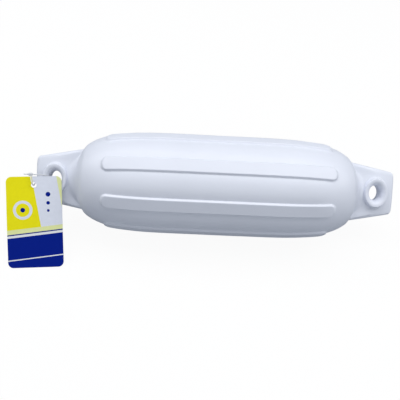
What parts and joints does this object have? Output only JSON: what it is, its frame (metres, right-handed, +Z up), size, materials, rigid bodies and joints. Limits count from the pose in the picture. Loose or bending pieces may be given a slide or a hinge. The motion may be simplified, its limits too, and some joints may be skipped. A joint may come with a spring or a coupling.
{
  "type": "boat fender",
  "caption": "Inflatable white vinyl boat fender with raised lengthwise ribs, a flat tab with an oval rope eye at each end, an inflation valve and a card hang tag.",
  "frame": {"origin": "on the surface that the fender lies on, under the middle of the fender without its tag", "axes": "+X along the fender, away from the end with the tag; +Z up; the upper side of the tabs faces -Y and +Z at 45 degrees"},
  "size_m": [0.4366, 0.1435, 0.1139],
  "materials": {
    "vinyl": "soft white moulded vinyl with a low sheen",
    "valve_rubber": "matt black rubber",
    "printed_card": "glossy coated card printed in yellow, pale grey and navy",
    "clear_nylon": "milky clear nylon"
  },
  "bodies": {
    "root": {"fender_body": "vinyl", "valve_insert": "valve_rubber", "tag_card": "printed_card", "tag_loop": "clear_nylon", "loop_lock": "clear_nylon"}
  },
  "joints": []
}
